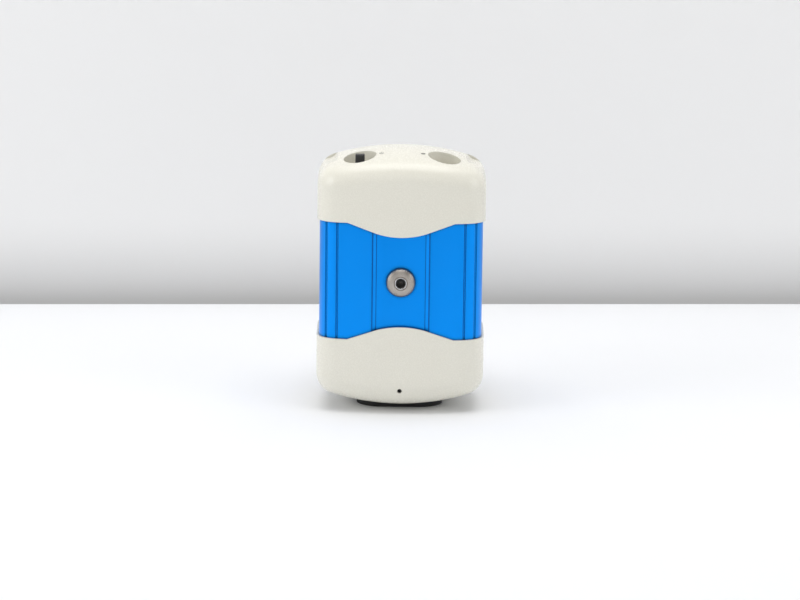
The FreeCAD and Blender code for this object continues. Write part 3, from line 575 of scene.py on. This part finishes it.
def makeFrontScrew(spec):
    length = spanOf("front_screw")[1] - spec["rise"]
    root = spec["shank"] - spec["threadCut"]
    rings = [roundRing(0.2, -length), roundRing(spec["shank"] - 0.4, -length)]
    thread = -length + 0.4
    while thread < spec["threadEnd"]:
        rings += [roundRing(root, thread), roundRing(spec["shank"], thread + 0.3),
                  roundRing(spec["shank"], thread + 0.4), roundRing(root, thread + 0.7)]
        thread += spec["threadPitch"]
    rings += [roundRing(spec["shank"], -1.4), roundRing(spec["shank"], 0.0)]
    rings += [roundRing(spec["head"] - 0.25, 0.0), roundRing(spec["head"] - 0.06, 0.05),
              roundRing(spec["head"], 0.2), roundRing(spec["head"], spec["rim"])]
    turns = int((spec["head"] - spec["crown"]) / spec["lathePitch"])
    for step in range(turns * 3 + 1):
        part = step / (turns * 3)
        reach = spec["head"] - 0.05 - part * (spec["head"] - 0.05 - spec["crown"] - 0.25)
        bulge = math.sqrt(max(0.0, 1 - ((reach - spec["crown"]) / (spec["head"] - spec["crown"])) ** 2))
        height = spec["rim"] + (spec["rise"] - spec["rim"]) * bulge
        groove = spec["latheDepth"] if step % 3 == 1 else 0.0
        rings.append(roundRing(reach, min(height - groove, spec["rise"])))
    rings += [roundRing(spec["crown"], spec["rise"]), roundRing(spec["crown"] - 0.12, spec["rise"] - 0.02)]
    rings += [hexRing(spec["flat"] + 0.28, spec["rise"] - 0.16), hexRing(spec["flat"], spec["rise"] - 0.5),
              hexRing(spec["flat"], spec["rise"] - spec["socketDepth"]),
              roundRing(1.2, spec["rise"] - spec["socketDepth"] - 0.5)]
    return lathe("FrontScrew", rings, spec["segments"], underHead(spec))


screw = makeFrontScrew(frontScrew)
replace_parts(finished(screw, "stainless"), "front_screw")


def makeSocketShadeLining(spec):
    # painted shade: a dark lining on the wall of the hexagon socket
    top, floor, flat = spec["rise"] - 0.42, spec["rise"] - spec["socketDepth"], spec["flat"] - 0.02
    rings = [hexRing(flat, top), hexRing(flat - 0.08, top), hexRing(flat - 0.1, floor + 0.1),
             roundRing(0.3, floor + 0.05), roundRing(0.3, floor), hexRing(flat, floor)]
    return lathe("FrontScrewSocketShade", rings, 72, underHead(spec), closedLoop=True)


finished(makeSocketShadeLining(frontScrew), "dark_steel")


def makeSocketHighlightRing(spec):
    # painted highlight: brighter steel on the chamfer round the mouth of the socket, whose shape is real
    outer, inner, top = spec["crown"] + 0.02, spec["flat"] + 0.22, spec["rise"]
    rings = [roundRing(outer, top - 0.2), roundRing(outer, top - 0.08), roundRing(outer - 0.12, top - 0.01),
             roundRing(outer - 0.25, top - 0.01), roundRing(inner, top - 0.14), roundRing(inner, top - 0.2)]
    return lathe("FrontScrewHighlightRing", rings, 96, underHead(spec), closedLoop=True)


finished(makeSocketHighlightRing(frontScrew), "bright_steel")


# painted shadow: dark strips at the foot of the channel's flanks, behind the tongues of both caps
channelShadowLines = {"half": 0.0088, "width": 0.00034, "lift": 0.00003, "floor": -0.020, "second": 0.00112,
                "slope": 2.0625, "endGap": 0.0002}


def makeChannelShadowLines(spec):
    low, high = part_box("body_sleeve")
    half, width, slope, gap = spec["half"], spec["width"], spec["slope"], spec["endGap"]
    verts, faces = [], []
    for side in (-1, 1):
        for start in (half - width * 0.5, half + spec["second"]):
            depth = spec["floor"] - spec["lift"] - max(0.0, start + width / 2 - half) / slope
            first = len(verts)
            corners = ((start, depth), (start + width, depth - (width / slope if start > half else 0.0)))
            for x, y in (corners if side > 0 else corners[::-1]):
                verts += [(side * x, y, low.z + gap), (side * x, y, high.z - gap)]
            faces.append((first, first + 2, first + 3, first + 1))
    finished(meshObject("ChannelShadowLines", verts, faces), "blue_painted_shadow")


makeChannelShadowLines(channelShadowLines)


# small socket screws, one mesh for each set of four
socketScrews = {
    # radii of shank and head, height of the head, half flat of the socket and length, in mm
    "flange_screws": dict(name="FlangeScrews", shank=0.98, head=1.95, rise=1.6, flat=0.78, length=6.0,
                          facing="back"),
    "case_screws": dict(name="LongScrews", shank=1.23, head=2.4, rise=2.0, flat=0.95, length=72.5,
                        facing="down"),
}
facings = {"back": facingBack, "down": Matrix.Rotation(math.pi, 4, "X")}


def makeSocketScrews(node, name, shank, head, rise, flat, length, facing):
    low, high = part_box(node)
    turn = facings[facing]
    rings = [roundRing(0.1, -length), roundRing(shank - 0.3, -length), roundRing(shank, -length + 0.4),
             roundRing(shank, 0.0), roundRing(head, 0.0)]
    for part in (0.0, 0.35, 0.7, 1.0):
        swing = part * math.pi / 2
        rings.append(roundRing(head - 0.3 * (1 - math.cos(swing)), rise - 0.3 + 0.3 * math.sin(swing)))
    rings += [roundRing(flat * 1.25, rise), hexRing(flat, rise - 0.12), hexRing(flat, rise * 0.4),
              roundRing(flat * 0.5, rise * 0.3)]
    copies = []
    for sideX in (-1, 1):
        for other in (-1, 1):
            x = sideX * ((high.x - low.x) / 2 - head * mm)
            if facing == "back":
                middle = (low.z + high.z) / 2
                origin = Vector((x, high.y - rise * mm,
                                 middle + other * ((high.z - low.z) / 2 - head * mm)))
            else:
                origin = Vector((x, other * ((high.y - low.y) / 2 - head * mm), low.z + rise * mm))
            spin = Matrix.Rotation(0.7 * sideX + 0.35 * other, 4, "Z")
            copies.append(lathe(node, rings, 48, Matrix.Translation(origin) @ turn @ spin))
    return joined(name, copies)


for node, spec in socketScrews.items():
    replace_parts(finished(makeSocketScrews(node, **spec), slotOf[node]), node)


# repeated pieces round an axis, in rows and in grids
def buildRepeatTree(name, kind):
    tree = bpy.data.node_groups.new(name, "GeometryNodeTree")
    tree.is_modifier = True
    sizes = [("Count", "NodeSocketInt", 24), ("Reach", "NodeSocketFloat", 0.01),
             ("Width", "NodeSocketFloat", 0.001), ("Depth", "NodeSocketFloat", 0.001),
             ("Height", "NodeSocketFloat", 0.001), ("Corner", "NodeSocketFloat", 0.0002),
             ("Rows", "NodeSocketInt", 1), ("Pitch", "NodeSocketFloat", 0.002),
             ("Seed", "NodeSocketInt", 3), ("Spread", "NodeSocketFloat", 0.0)]
    tree.interface.new_socket("Geometry", in_out="INPUT", socket_type="NodeSocketGeometry")
    for label, socketKind, value in sizes:
        tree.interface.new_socket(label, in_out="INPUT", socket_type=socketKind).default_value = value
    tree.interface.new_socket("Finish", in_out="INPUT", socket_type="NodeSocketMaterial")
    tree.interface.new_socket("Geometry", in_out="OUTPUT", socket_type="NodeSocketGeometry")
    start, end = tree.nodes.new("NodeGroupInput"), tree.nodes.new("NodeGroupOutput")
    link = tree.links.new

    cube = tree.nodes.new("GeometryNodeMeshCube")
    size = tree.nodes.new("ShaderNodeCombineXYZ")
    for label, axis in (("Width", "X"), ("Depth", "Y"), ("Height", "Z")):
        link(start.outputs[label], size.inputs[axis])
    link(size.outputs[0], cube.inputs["Size"])
    split = tree.nodes.new("GeometryNodeSubdivideMesh")
    split.inputs["Level"].default_value = 2
    link(cube.outputs["Mesh"], split.inputs["Mesh"])
    # corners are pulled in so that each piece has soft edges
    position = tree.nodes.new("GeometryNodeInputPosition")
    inner = nodeOf(tree, "ShaderNodeVectorMath", operation="SUBTRACT")
    half = nodeOf(tree, "ShaderNodeVectorMath", operation="SCALE")
    half.inputs["Scale"].default_value = 0.5
    link(size.outputs[0], half.inputs[0])
    corner = tree.nodes.new("ShaderNodeCombineXYZ")
    for axis in "XYZ":
        link(start.outputs["Corner"], corner.inputs[axis])
    link(half.outputs[0], inner.inputs[0])
    link(corner.outputs[0], inner.inputs[1])
    lowest = nodeOf(tree, "ShaderNodeVectorMath", operation="SCALE")
    lowest.inputs["Scale"].default_value = -1.0
    link(inner.outputs[0], lowest.inputs[0])
    capped = nodeOf(tree, "ShaderNodeVectorMath", operation="MINIMUM")
    link(position.outputs[0], capped.inputs[0])
    link(inner.outputs[0], capped.inputs[1])
    core = nodeOf(tree, "ShaderNodeVectorMath", operation="MAXIMUM")
    link(capped.outputs[0], core.inputs[0])
    link(lowest.outputs[0], core.inputs[1])
    offset = nodeOf(tree, "ShaderNodeVectorMath", operation="SUBTRACT")
    link(position.outputs[0], offset.inputs[0])
    link(core.outputs[0], offset.inputs[1])
    unit = nodeOf(tree, "ShaderNodeVectorMath", operation="NORMALIZE")
    link(offset.outputs[0], unit.inputs[0])
    out = nodeOf(tree, "ShaderNodeVectorMath", operation="SCALE")
    link(unit.outputs[0], out.inputs[0])
    link(start.outputs["Corner"], out.inputs["Scale"])
    rounded = nodeOf(tree, "ShaderNodeVectorMath", operation="ADD")
    link(core.outputs[0], rounded.inputs[0])
    link(out.outputs[0], rounded.inputs[1])
    shape = tree.nodes.new("GeometryNodeSetPosition")
    link(split.outputs["Mesh"], shape.inputs["Geometry"])
    link(rounded.outputs[0], shape.inputs["Position"])

    total = nodeOf(tree, "ShaderNodeMath", operation="MULTIPLY")
    link(start.outputs["Count"], total.inputs[0])
    link(start.outputs["Rows"], total.inputs[1])
    points = tree.nodes.new("GeometryNodePoints")
    link(total.outputs[0], points.inputs["Count"])
    index = tree.nodes.new("GeometryNodeInputIndex")
    row = nodeOf(tree, "ShaderNodeMath", operation="DIVIDE")
    link(index.outputs[0], row.inputs[0])
    link(start.outputs["Count"], row.inputs[1])
    rowFloor = nodeOf(tree, "ShaderNodeMath", operation="FLOOR")
    link(row.outputs[0], rowFloor.inputs[0])
    column = nodeOf(tree, "ShaderNodeMath", operation="MODULO")
    link(index.outputs[0], column.inputs[0])
    link(start.outputs["Count"], column.inputs[1])
    rowMiddle = mathNode(tree, "MULTIPLY", mathNode(tree, "SUBTRACT", start.outputs["Rows"], 1.0), 0.5)
    rowPlace = mathNode(tree, "MULTIPLY", mathNode(tree, "SUBTRACT", rowFloor.outputs[0], rowMiddle),
                        start.outputs["Pitch"])
    spot = tree.nodes.new("ShaderNodeCombineXYZ")
    spin = tree.nodes.new("ShaderNodeCombineXYZ")
    if kind == "ring":
        stagger = mathNode(tree, "MULTIPLY", rowFloor.outputs[0], 0.5)
        share = mathNode(tree, "DIVIDE", mathNode(tree, "ADD", column.outputs[0], stagger),
                         start.outputs["Count"])
        angle = mathNode(tree, "MULTIPLY", share, 2 * math.pi)
        for operation, axis in (("COSINE", "X"), ("SINE", "Y")):
            turn = mathNode(tree, operation, angle)
            link(mathNode(tree, "MULTIPLY", turn, start.outputs["Reach"]), spot.inputs[axis])
        link(rowPlace, spot.inputs["Z"])
        link(angle, spin.inputs["Z"])
    else:
        middle = mathNode(tree, "MULTIPLY", mathNode(tree, "SUBTRACT", start.outputs["Count"], 1.0), 0.5)
        along = mathNode(tree, "MULTIPLY", mathNode(tree, "SUBTRACT", column.outputs[0], middle),
                         start.outputs["Reach"])
        shift = tree.nodes.new("FunctionNodeRandomValue")
        shift.data_type = "FLOAT"
        link(index.outputs[0], shift.inputs["ID"])
        link(start.outputs["Seed"], shift.inputs["Seed"])
        moved = mathNode(tree, "MULTIPLY", mathNode(tree, "SUBTRACT", shift.outputs[1], 0.5),
                         start.outputs["Spread"])
        link(mathNode(tree, "ADD", along, moved), spot.inputs["X"])
        link(rowPlace, spot.inputs["Y"])
    link(spot.outputs[0], points.inputs["Position"])
    copies = tree.nodes.new("GeometryNodeInstanceOnPoints")
    link(points.outputs[0], copies.inputs["Points"])
    link(shape.outputs["Geometry"], copies.inputs["Instance"])
    link(spin.outputs[0], copies.inputs["Rotation"])
    real = tree.nodes.new("GeometryNodeRealizeInstances")
    link(copies.outputs["Instances"], real.inputs["Geometry"])
    paint = tree.nodes.new("GeometryNodeSetMaterial")
    link(real.outputs["Geometry"], paint.inputs["Geometry"])
    link(start.outputs["Finish"], paint.inputs["Material"])
    link(paint.outputs["Geometry"], end.inputs["Geometry"])
    return tree


repeatTrees = {kind: buildRepeatTree("Repeat" + kind.title(), kind) for kind in ("ring", "grid")}


def repeated(name, kind, matrix, material, values, body="case"):
    tree = repeatTrees[kind]
    holder = linked(name + "Holder", bpy.data.meshes.new(name + "Holder"))
    modifier = holder.modifiers.new("Repeat", "NODES")
    modifier.node_group = tree
    values = dict(values, Finish=materials[material])
    for item in tree.interface.items_tree:
        if item.item_type == "SOCKET" and item.in_out == "INPUT" and item.name in values:
            modifier[item.identifier] = values[item.name]
    bpy.context.view_layer.update()
    evaluated = holder.evaluated_get(bpy.context.evaluated_depsgraph_get())
    mesh = bpy.data.meshes.new_from_object(evaluated)
    bpy.data.objects.remove(holder)
    mesh.transform(matrix)
    mesh.name = name
    smoothBelow(mesh, 40)
    return finished(linked(name, mesh), material, body)


# dust plug with a ribbed grip, which pulls off the nose
plugSpec = {
    "segments": 192, "gripWall": 1.5, "skirtWall": 1.6, "cover": 2.8,
    "ringIn": 0.36, "ringOut": 0.44,            # shallow ring in the cover, as parts of its radius
    "ribs": 60, "ribWidth": 0.0008, "ribDepth": 0.0007, "ribLength": 0.0018, "ribSink": 0.00042,
    "ribFromTop": 0.00165, "ribCorner": 0.00025,
}


def makePlug(spec):
    width, depth, _ = spanOf("dust_plug")
    grip = width / 2
    bore = grip - spec["gripWall"]
    inside, ceiling = bore - spec["skirtWall"], depth - spec["cover"]
    profile = [(0.2, depth - 0.35), (grip * spec["ringIn"], depth - 0.35), (grip * 0.38, depth - 0.55),
               (grip * 0.42, depth - 0.55), (grip * spec["ringOut"], depth - 0.3), (grip - 2.6, depth - 0.12),
               (grip - 0.9, depth), (grip - 0.32, depth - 0.55), (grip - 0.32, depth - 2.6),
               (bore + 0.1, depth - 2.72), (bore, depth - 3.2), (bore, 0.3), (bore - 0.4, 0),
               (inside, 0), (inside, ceiling), (0.2, ceiling)]
    return lathe("DustPlug", ringsOf(profile, 0.2), spec["segments"], seat("dust_plug"))


plug = makePlug(plugSpec)
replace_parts(finished(plug, "black_plastic", "plug"), "dust_plug")
plugLow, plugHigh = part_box("dust_plug")
ribPlace = Matrix.Translation((0, plugHigh.y - plugSpec["ribFromTop"], centreOf("dust_plug").z)) @ facingBack
repeated("PlugRibs", "ring", ribPlace, "black_plastic",
         {"Count": plugSpec["ribs"], "Reach": (plugHigh.x - plugLow.x) / 2 - plugSpec["ribSink"],
          "Width": plugSpec["ribWidth"], "Depth": plugSpec["ribDepth"], "Height": plugSpec["ribLength"],
          "Corner": plugSpec["ribCorner"]}, "plug")


# nose tube with a turned relief, thread rings and a grooved shoulder
noseSpec = {
    "segments": 192, "wall": 1.75, "lip": 1.1, "shoulder": 3.5, "step": 0.85, "groove": 0.18,
    "endGroove": 0.16, "threadFrom": 9.0, "threadTurns": 8, "pitch": 0.75, "threadDepth": 0.3,
}


def makeNose(spec):
    width, length, _ = spanOf("nose_tube")
    outer = width / 2
    bore = outer - spec["wall"]
    lip, step, shoulder = bore - spec["lip"], outer - spec["step"], spec["shoulder"]
    groove, endGroove = outer - spec["groove"], outer - spec["endGroove"]
    profile = [(lip, 0), (step, 0), (step, shoulder), (outer, shoulder)]
    profile += [(outer, shoulder + 1.2), (groove, shoulder + 1.35), (groove, shoulder + 1.75),
                (outer, shoulder + 1.9), (outer, length - 2.6), (endGroove, length - 2.45),
                (endGroove, length - 2.15), (outer, length - 2.0), (outer, length - 0.5),
                (outer - 0.5, length), (bore + 0.3, length), (bore, length - 0.3), (bore, length - 8.8)]
    height = length - spec["threadFrom"]
    for turn in range(spec["threadTurns"]):
        profile += [(bore - spec["threadDepth"], height - 0.3), (bore, height - spec["pitch"])]
        height -= spec["pitch"]
    profile += [(bore, shoulder + 1.0), (lip, shoulder + 1.0)]
    return lathe("NoseTube", ringsOf(profile, 0.08), spec["segments"], seat("nose_tube"), closedLoop=True)


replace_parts(finished(makeNose(noseSpec), "black_anodised"), "nose_tube")


# ring nut of the jack, with its knurl
nutSpec = {
    "segments": 96, "bore": 3.05, "mouth": 3.4, "sink": 0.22, "knurls": 36, "knurlLift": 0.00045,
    "knurlSink": 0.0003, "knurlWidth": 0.0006, "knurlDepth": 0.00045, "knurlLength": 0.0008,
    "knurlCorner": 0.00012,
}


def makeJackNut(spec):
    width, deep, _ = spanOf("jack_nut")
    reach = width / 2
    body = reach - spec["sink"]
    profile = [(spec["bore"], 0), (body, 0), (body, deep - 0.5), (reach - 0.6, deep), (spec["mouth"], deep),
               (spec["bore"], deep - 0.3)]
    origin = seat("jack_nut", centreOf("jack_nut").x)
    return lathe("JackNut", ringsOf(profile, 0.1), spec["segments"], origin, closedLoop=True)


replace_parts(finished(makeJackNut(nutSpec), "bright_steel"), "jack_nut")
nutLow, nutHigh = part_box("jack_nut")
knurlPlace = Matrix.Translation((0, nutLow.y + nutSpec["knurlLift"], centreOf("jack_nut").z)) @ facingBack
repeated("JackNutKnurl", "ring", knurlPlace, "bright_steel",
         {"Count": nutSpec["knurls"], "Reach": (nutHigh.x - nutLow.x) / 2 - nutSpec["knurlSink"],
          "Width": nutSpec["knurlWidth"], "Depth": nutSpec["knurlDepth"], "Height": nutSpec["knurlLength"],
          "Corner": nutSpec["knurlCorner"]})


# tripod bush with its 1/4 inch thread of 20 turns to the inch
bushSpec = {"segments": 96, "threadRadius": 3.175, "pitch": 1.27, "depth": 8.5, "threadCut": 0.38}


def makeBush(spec):
    width, _, top = spanOf("tripod_bush")
    outer = width / 2
    thread, depth, pitch = spec["threadRadius"], spec["depth"], spec["pitch"]
    crest = thread - spec["threadCut"]
    profile = [(0.1, top), (outer, top), (outer, 0.25), (outer - 0.25, 0), (thread + 0.45, 0), (thread, 0.45)]
    height = 0.45
    while height + pitch < depth - 0.3:
        profile += [(crest, height + pitch * 0.42), (crest, height + pitch * 0.58), (thread, height + pitch)]
        height += pitch
    profile += [(thread, depth), (0.1, depth + 0.2)]
    return lathe("TripodBush", ringsOf(profile, 0.05), spec["segments"],
                 Matrix.Translation((0, 0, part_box("tripod_bush")[0].z)))


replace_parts(finished(makeBush(bushSpec), "brass"), "tripod_bush")


# slide switch knob with finger ridges
knobSpec = {"ridges": 4, "cutDepth": 0.00035, "inset": 0.00022, "sharpAbove": 35}


def makeKnob(spec):
    low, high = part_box("switch_knob")
    size = high - low
    ridges, cutDepth, inset = spec["ridges"], spec["cutDepth"], spec["inset"]
    outline = []
    pitch = size.x / ridges
    for step in range(ridges):
        start = low.x + step * pitch
        outline += [(start + pitch * 0.08, high.z - cutDepth * 0.4), (start + pitch * 0.28, high.z),
                    (start + pitch * 0.72, high.z), (start + pitch * 0.92, high.z - cutDepth * 0.4),
                    (start + pitch, high.z - cutDepth)]
    outline = [(low.x, high.z - cutDepth)] + outline
    shape = [(low.x, low.z)] + outline + [(high.x, low.z)]
    bm = bmesh.new()
    slices = []
    for y, pull in ((low.y, inset), (low.y + inset * 0.3, inset * 0.4), (low.y + inset, 0.0),
                    (high.y - inset, 0.0), (high.y - inset * 0.3, inset * 0.4), (high.y, inset)):
        middle = (low.x + high.x) / 2
        scale = 1 - 2 * pull / size.x
        slices.append([bm.verts.new((middle + (x - middle) * scale, y,
                                     z - (pull * 0.6 if z > low.z else 0))) for x, z in shape])
    for back, front in zip(slices, slices[1:]):
        for index in range(len(shape)):
            follow = (index + 1) % len(shape)
            bm.faces.new((back[index], back[follow], front[follow], front[index]))
    bm.faces.new(slices[0])
    bm.faces.new(slices[-1])
    bmesh.ops.triangulate(bm, faces=[face for face in bm.faces if len(face.verts) > 4])
    bmesh.ops.recalc_face_normals(bm, faces=bm.faces)
    return linked("SwitchKnob", meshOf(bm, "SwitchKnob", spec["sharpAbove"]))


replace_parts(finished(makeKnob(knobSpec), "black_plastic", "knob"), "switch_knob")


# contacts on the tongue of the data socket
contacts = {"count": 12, "step": 0.00048, "width": 0.00026, "length": 0.0022, "rise": 0.00008,
            "corner": 0.00003, "fromTop": 0.0016}
tongueLow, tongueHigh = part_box("usb_tongue")
tongueMiddle = centreOf("usb_tongue")
for side in (-1, 1):
    origin = Vector((tongueMiddle.x, tongueMiddle.y + side * ((tongueHigh.y - tongueLow.y) / 2),
                     tongueHigh.z - contacts["fromTop"]))
    repeated("SocketContacts" + ("Front" if side < 0 else "Back"), "grid",
             Matrix.Translation(origin) @ facingBack, "brass",
             {"Count": contacts["count"], "Reach": contacts["step"], "Width": contacts["width"],
              "Depth": contacts["length"], "Height": contacts["rise"], "Corner": contacts["corner"]})


# small parts on the backs of the boards
partFit = {"sink": 0.00002, "corner": 0.00008, "spread": 0.0003}
boardParts = [
    # name, node, across, height, count, step, rows, pitch, size
    ("MainResistors", "main_board", 0.0135, -0.022, 7, 0.0019, 4, 0.0026, (0.0010, 0.0005, 0.0005)),
    ("MainCapacitors", "main_board", -0.0135, -0.028, 5, 0.0024, 3, 0.0030, (0.0016, 0.0008, 0.0008)),
    ("UpperCapacitors", "main_board", -0.012, 0.024, 5, 0.0024, 3, 0.0030, (0.0016, 0.0008, 0.0008)),
    ("SensorCapacitors", "sensor_board", 0.0, 0.0135, 8, 0.0022, 2, 0.0026, (0.0010, 0.0005, 0.0005)),
    ("SensorResistors", "sensor_board", 0.0, -0.0135, 8, 0.0022, 2, 0.0026, (0.0010, 0.0005, 0.0005)),
]
for name, node, across, height, count, step, rows, pitch, size in boardParts:
    back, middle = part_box(node)[1].y, centreOf(node)
    origin = Matrix.Translation((middle.x + across, back + size[2] / 2 - partFit["sink"],
                                 middle.z + height)) @ facingBack
    repeated(name, "grid", origin, "ceramic_grey" if "Cap" in name else "chip_black",
             {"Count": count, "Reach": step, "Width": size[0], "Depth": size[1], "Height": size[2],
              "Corner": partFit["corner"], "Rows": rows, "Pitch": pitch, "Spread": partFit["spread"]})
print("turned, repeated and small pieces ready")


# painted marks beside the wells, which lie on the crown of the cap
markSpec = {"offset": 0.0074, "forward": -0.0098, "lift": 0.00004}


def crownPoint(x, y):
    # found on the cap itself, straight down from above
    above = Vector((x, y, caseHigh.z + 0.01))
    point, normal = nodes["top_cap"].ray_cast(above, Vector((0, 0, -1)))[1:3]
    return point + normal * markSpec["lift"]


def makeMark(name, outline, x, y):
    verts = [crownPoint(x + dx * mm, y + dy * mm) for dx, dy in outline]
    half = len(outline) // 2
    faces = [(i, i + 1, half + i + 1, half + i) for i in range(half - 1)]
    obj = meshObject(name, verts, faces)
    smoothBelow(obj.data, 60)
    return finished(obj, "chip_black")


def barOutline(length, width, steps=8):
    row = [(-length / 2 + length * step / steps, -width / 2) for step in range(steps + 1)]
    return row + [(dx, width / 2) for dx, dy in row]


def ringOutline(outer, inner, steps=36, sweep=360.0, start=0.0):
    angles = [math.radians(start + sweep * step / steps) for step in range(steps + 1)]
    return ([(outer * math.cos(angle), outer * math.sin(angle)) for angle in angles] +
            [(inner * math.cos(angle), inner * math.sin(angle)) for angle in angles])


makeMark("SwitchMarkRing", ringOutline(0.75, 0.5, 36, 290, 125), -markSpec["offset"], markSpec["forward"])
makeMark("SwitchMarkBar", [(dy, dx) for dx, dy in barOutline(0.8, 0.22)], -markSpec["offset"],
         markSpec["forward"] + 0.0006)
makeMark("SocketMarkRing", ringOutline(0.75, 0.5), markSpec["offset"], markSpec["forward"])
makeMark("SocketMarkDot", ringOutline(0.24, 0.02, 18), markSpec["offset"], markSpec["forward"])
print("marks ready")

bpy.context.scene.view_settings.view_transform = "Standard"
